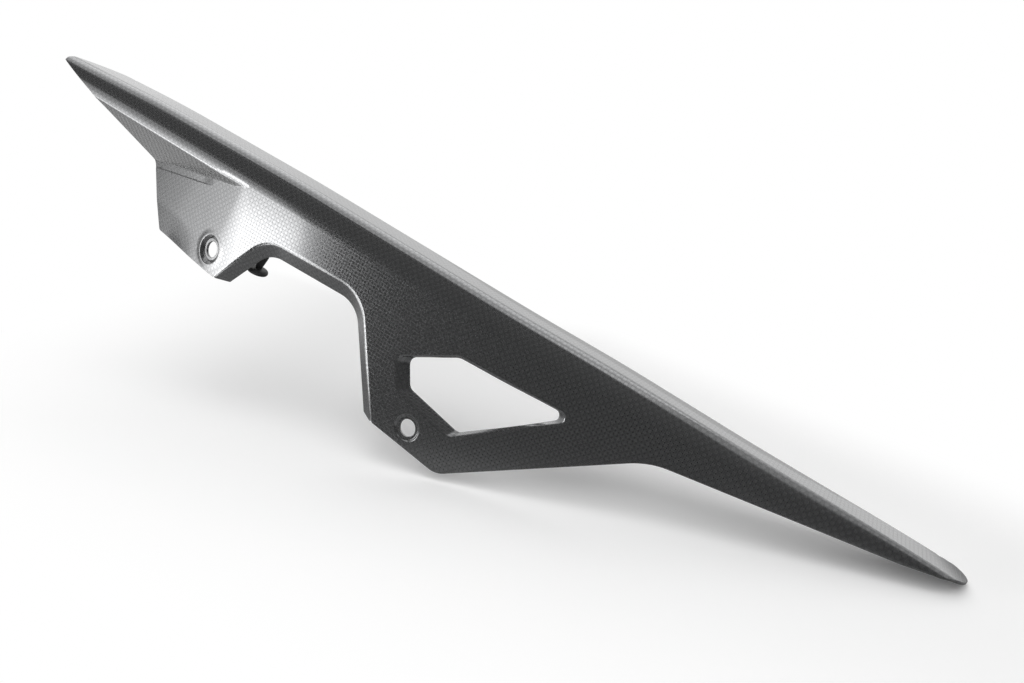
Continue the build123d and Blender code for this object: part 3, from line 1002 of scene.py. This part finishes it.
def add_lamp(scene, name, target, direction, distance, size, watts):
    """A soft rectangular lamp that faces a target from a direction."""
    data = bpy.data.lights.new(name, "AREA")
    data.shape, data.size, data.size_y, data.energy = "RECTANGLE", size[0], size[1], watts
    lamp = bpy.data.objects.new(name, data)
    way = Vector(direction).normalized()
    turn = way.to_track_quat("Z", "Y").to_matrix().to_4x4()
    lamp.matrix_world = Matrix.Translation(Vector(target) + way * distance) @ turn
    scene.collection.objects.link(lamp)
    return lamp


# Floor, in metres: its gap under the guard, its reach, and where its painted shade and its white begin and
# end: the painted shade in front of the guard and along it from the nose, the white in front, to the left of
# the nose and behind it
FLOOR_GAP = 0.0004
FLOOR_REACH = 3
FLOOR_POINTS = 13
FRONT_SHADE = (0.17, 0.4)
LENGTH_SHADE = (-0.38, -0.18)
WHITE_FRONT = (0.0, 0.16)
WHITE_LEFT = (0.14, 0.42)
WHITE_BEHIND = (0.2, 0.28)
TAIL_SLANT = 0.45
# Greys: the painted shade in front of the guard and along it, seen only in reflections and bounced light, the
# speckle, and the paper that the camera sees
FRONT_SHADE_GREY, LENGTH_SHADE_GREY, SPECK_GREY, PAPER_GREY = 0.08, 0.34, 0.5, 0.98
SPECK_SCALE, SPECK_SHARE = 40.0, 0.06
PAPER_LIFT = 0.06


def floor_height():
    """Height of the floor over the table's zero: just under the lowest point of the shell."""
    shell = frame["nodes"]["guard_shell"].data
    points = np.zeros(len(shell.vertices) * 3, np.float32)
    shell.vertices.foreach_get("co", points)
    return (points.reshape(-1, 3) @ np.array(TABLE_UP)).min() - FLOOR_GAP


def add_floor(scene, colour):
    """A wide floor, level with the table the guard lies on, under its lowest corner. The camera sees it as
    white paper that takes the shadow, and as plain white further off. The light that it throws back on the
    guard, and its reflections in the guard, come from paper with painted shade: pale at the nose, painted
    grey shade along the rest and dark painted shade in front. Reflections see the white behind the guard too."""
    low = floor_height()
    t = np.linspace(-FLOOR_REACH, FLOOR_REACH, FLOOR_POINTS)
    a, b = np.meshgrid(t, t, indexing="ij")
    right, ahead = np.array(TABLE_RIGHT), np.array(TABLE_AHEAD)
    grid = np.array(TABLE_UP * low) + a[..., None] * right + b[..., None] * ahead
    index = np.arange(FLOOR_POINTS ** 2).reshape(FLOOR_POINTS, FLOOR_POINTS)
    quads = np.stack([index[:-1, :-1], index[1:, :-1], index[1:, 1:], index[:-1, 1:]], -1).reshape(-1, 4)
    mesh = bpy.data.meshes.new("floor")
    mesh.from_pydata(grid.reshape(-1, 3).tolist(), [], quads.tolist())
    floor = bpy.data.objects.new("floor", mesh)
    scene.collection.objects.link(floor)
    material = bpy.data.materials.new("pale_floor")
    material.use_nodes = True
    graph = Graph(material.node_tree)
    camera, shown = seen_rays(graph)
    spot = graph.node("ShaderNodeTexCoord", output="Object")
    speckle = graph.node("ShaderNodeTexNoise", None, {"Vector": spot, "Scale": SPECK_SCALE, "Detail": 3.0})
    along, across = (graph.dot(spot, way) for way in (GUARD_ALONG, GUARD_ACROSS))
    front = graph.fade(across * -1, *FRONT_SHADE)
    under = graph.fade(along, *LENGTH_SHADE)
    shaded_tint = graph.mix(speckle * SPECK_SHARE, (*colour, 1), grey(SPECK_GREY))
    # Painted shade that only reflections and bounced light see: grey along the guard from the nose on, dark
    # in front of it
    shaded_tint = graph.mix(under, shaded_tint, grey(LENGTH_SHADE_GREY))
    shaded_tint = graph.mix(front, shaded_tint, grey(FRONT_SHADE_GREY))
    paper = graph.node("ShaderNodeBsdfDiffuse", None, {"Color": shaded_tint})
    bright = graph.node("ShaderNodeBsdfDiffuse", None, {"Color": grey(PAPER_GREY)})
    lift = graph.node("ShaderNodeEmission", None, {"Color": grey(1.0), "Strength": PAPER_LIFT})
    near = graph.node("ShaderNodeMixShader", None, {
        0: camera, 1: paper, 2: graph.node("ShaderNodeAddShader", None, {0: bright, 1: lift})})
    behind = graph.fade(across + along.math("MAXIMUM", 0) * TAIL_SLANT, *WHITE_BEHIND)
    left = graph.fade(along * -1, *WHITE_LEFT)
    open_front = graph.fade(across * -1, *WHITE_FRONT)
    far = (behind * shown).math("MAXIMUM", open_front.math("MAXIMUM", left) * camera)
    white = graph.node("ShaderNodeEmission", None, {"Color": grey(1.0), "Strength": 1.0})
    both = graph.node("ShaderNodeMixShader", None, {0: far, 1: near, 2: white})
    graph.node("ShaderNodeOutputMaterial", None, {"Surface": both})
    mesh.materials.append(material)


def seen_rays(graph):
    """The camera's rays, and all rays that see the background: the camera's, glossy and transmission."""
    rays = [graph.node("ShaderNodeLightPath", output=name)
            for name in ("Is Camera Ray", "Is Glossy Ray", "Is Transmission Ray")]
    return rays[0], (rays[0] + rays[1] + rays[2]).math("MINIMUM", 1)


BACKDROP_EDGE = (0.1, 0.55)


def add_world(scene, dim, bright):
    """A pale backdrop behind the guard and a dim room in front of it. The camera sees white, and so
    do reflections of the backdrop."""
    world = bpy.data.worlds.new("room")
    world.use_nodes = True
    scene.world = world
    graph = Graph(world.node_tree)
    way = graph.node("ShaderNodeTexCoord", output="Generated")
    backdrop = graph.fade(graph.dot(way, TABLE_AHEAD), *BACKDROP_EDGE)
    camera, shown = seen_rays(graph)
    front, back, white = (graph.node("ShaderNodeBackground", None, {"Color": grey(1.0), "Strength": strength})
                          for strength in (dim, bright, 1.0))
    room = graph.node("ShaderNodeMixShader", None, {0: backdrop, 1: front, 2: back})
    seen = camera.math("MAXIMUM", shown * backdrop)
    mixed = graph.node("ShaderNodeMixShader", None, {0: seen, 1: room, 2: white})
    graph.node("ShaderNodeOutputWorld", None, {"Surface": mixed})


def table_way(azimuth, elevation):
    """A direction over the table: azimuth from straight ahead to the right, elevation above the table."""
    azimuth, elevation = math.radians(azimuth), math.radians(elevation)
    level = TABLE_AHEAD * math.cos(azimuth) + TABLE_RIGHT * math.sin(azimuth)
    return level * math.cos(elevation) + TABLE_UP * math.sin(elevation)


# Nested lamps to the left of the nose: all end at the azimuth SIDE_EDGE and the elevation SIDE_LOW,
# and each has its own right edge and top
SIDE_EDGE = -121.0
SIDE_LOW = -9.0
SIDE_REACH = ((-79, 30), (-83, 22), (-87, 18), (-92, 15), (-97, 13), (-102, 11), (-108, 12), (-111, 11))
SIDE_TARGET = (-0.15, 0, 0.04)
SIDE_DISTANCE = 0.62
SIDE_GAP = 0.004

# The other lamps: targets, azimuth and elevation over the table, sizes, and the tail lamp's share of
# the top lamp's power
LAMP_DISTANCE = 1.1
MIDDLE_TARGET = (0, 0, 0.05)
TAIL_TARGET = (0.15, 0, 0.08)
TOP_WAY, TOP_SIZE = (-10, 69), (1.5, 1.3)
TAIL_WAY, TAIL_SIZE, TAIL_SHARE = (115, 57), (1.4, 1.0), 0.4
FRONT_WAY, FRONT_SIZE = (165, 55), (1.5, 1.4)

# The low lamp lies on the floor to the left of the nose and faces up
LOW_START = Vector((-0.15, 0, 0))
LOW_AZIMUTH = -108
LOW_DISTANCE = 0.42
LOW_RISE = 0.004
LOW_SIZE = (0.2, 0.38)
LOW_WATTS = 0.75


def add_side_lamp(scene, step, watts):
    """One of the nested lamps. Each reaches less far than the one before, so their sum fades softly."""
    right, top = SIDE_REACH[step]
    distance = SIDE_DISTANCE - SIDE_GAP * step
    spans = (right - SIDE_EDGE, top - SIDE_LOW)
    size = [2 * distance * math.tan(math.radians(angle / 2)) for angle in spans]
    way = table_way((right + SIDE_EDGE) / 2, (top + SIDE_LOW) / 2)
    power = watts * size[0] * size[1]
    add_lamp(scene, f"side_lamp_{step + 1}", SIDE_TARGET, way, distance, size, power)


def add_lamps(scene, look):
    """All the lamps. The front lamp throws the shadow and isn't reflected, and the tail and low lamps
    are only reflected."""
    for step in range(len(SIDE_REACH)):
        add_side_lamp(scene, step, look.side_watts)
    add_lamp(scene, "top_lamp", MIDDLE_TARGET, table_way(*TOP_WAY), LAMP_DISTANCE, TOP_SIZE, look.top_watts)
    tail = add_lamp(scene, "tail_lamp", TAIL_TARGET, table_way(*TAIL_WAY), LAMP_DISTANCE, TAIL_SIZE,
                    look.top_watts * TAIL_SHARE)
    spot = LOW_START + table_way(LOW_AZIMUTH, 0) * LOW_DISTANCE
    spot += TABLE_UP * (floor_height() + LOW_RISE - spot.dot(TABLE_UP))
    low = add_lamp(scene, "low_lamp", spot, -TABLE_UP, 0, LOW_SIZE, LOW_WATTS)
    front = add_lamp(scene, "front_lamp", MIDDLE_TARGET, table_way(*FRONT_WAY), LAMP_DISTANCE, FRONT_SIZE,
                     look.front_watts)
    front.visible_glossy = False
    tail.visible_diffuse = low.visible_diffuse = False


class CHAINGUARD_OT_stage(bpy.types.Operator):
    """Sets the camera, the pale floor and the soft light"""

    bl_idname = "chainguard.stage"
    bl_label = "Stage"

    def execute(self, context):
        scene, look = context.scene, context.scene.studio_look
        scene.view_settings.view_transform = "Standard"
        add_camera(scene)
        add_floor(scene, tuple(look.floor))
        add_world(scene, look.room, look.backdrop)
        add_lamps(scene, look)
        return {"FINISHED"}


class CHAINGUARD_PT_panel(bpy.types.Panel):
    """Lists the pieces of the chain guard"""

    bl_idname = "CHAINGUARD_PT_panel"
    bl_label = "Chain guard"
    bl_space_type = "VIEW_3D"
    bl_region_type = "UI"
    bl_category = "Chain guard"

    def draw(self, context):
        for operator in OPERATORS:
            self.layout.operator(operator.bl_idname)
        for group in (context.scene.guard_shape, context.scene.carbon_finish, context.scene.studio_look):
            box = self.layout.box()
            for name in group.bl_rna.properties.keys():
                if name not in ("rna_type", "name"):
                    box.prop(group, name)


OPERATORS = (CHAINGUARD_OT_stage, CHAINGUARD_OT_skin, CHAINGUARD_OT_peg)
CLASSES = (GuardShape, CarbonFinish, StudioLook, *OPERATORS, CHAINGUARD_PT_panel)


def register():
    for item in CLASSES:
        bpy.utils.register_class(item)
    bpy.types.Scene.guard_shape = bpy.props.PointerProperty(type=GuardShape)
    bpy.types.Scene.carbon_finish = bpy.props.PointerProperty(type=CarbonFinish)
    bpy.types.Scene.studio_look = bpy.props.PointerProperty(type=StudioLook)


def unregister():
    del bpy.types.Scene.studio_look
    del bpy.types.Scene.carbon_finish
    del bpy.types.Scene.guard_shape
    for item in reversed(CLASSES):
        bpy.utils.unregister_class(item)


def main():
    """Registers the add-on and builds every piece."""
    register()
    bpy.ops.chainguard.stage()
    bpy.ops.chainguard.skin()
    bpy.ops.chainguard.peg()


if __name__ == "__main__":
    main()
